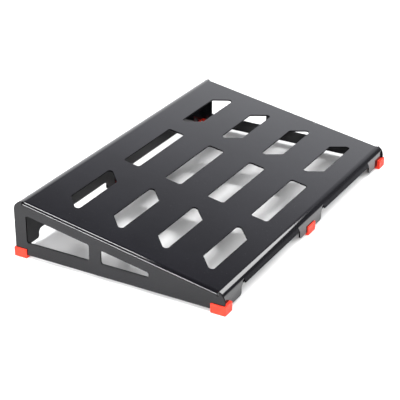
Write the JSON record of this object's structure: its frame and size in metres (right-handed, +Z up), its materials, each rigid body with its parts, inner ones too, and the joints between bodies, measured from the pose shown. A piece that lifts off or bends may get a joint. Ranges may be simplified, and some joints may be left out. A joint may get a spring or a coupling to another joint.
{
  "type": "pedalboard",
  "caption": "Wedge-shaped pedalboard folded from one gloss black sheet, with cable slots in its sloping deck, cut-out side walls and red rubber clip feet.",
  "frame": {"origin": "on the floor under the middle of the board's footprint", "axes": "+X to the player's right, +Y from the player to the high rear edge, +Z up"},
  "size_m": [0.512, 0.322, 0.0824],
  "materials": {
    "gloss_black": "gloss powder coat",
    "red_rubber": "matte moulded",
    "zinc_steel": "bright zinc"
  },
  "bodies": {
    "root": {"folded_shell": "gloss_black", "foot_front_left": "red_rubber", "foot_front_right": "red_rubber", "foot_front_middle": "red_rubber", "foot_rear_left": "red_rubber", "foot_rear_right": "red_rubber", "foot_rear_middle": "red_rubber", "screw_front_left_side": "zinc_steel", "screw_front_left_tab": "zinc_steel", "screw_front_right_side": "zinc_steel", "screw_front_right_tab": "zinc_steel", "screw_rear_left_side": "zinc_steel", "screw_rear_left_tab": "zinc_steel", "screw_rear_right_side": "zinc_steel", "screw_rear_right_tab": "zinc_steel", "screw_front_middle_tab": "zinc_steel", "screw_rear_middle_tab": "zinc_steel", "washer_front_left_side": "zinc_steel", "washer_front_left_tab": "zinc_steel", "washer_front_right_side": "zinc_steel", "washer_front_right_tab": "zinc_steel", "washer_rear_left_side": "zinc_steel", "washer_rear_left_tab": "zinc_steel", "washer_rear_right_side": "zinc_steel", "washer_rear_right_tab": "zinc_steel", "washer_front_middle_tab": "zinc_steel", "washer_rear_middle_tab": "zinc_steel"}
  },
  "joints": []
}
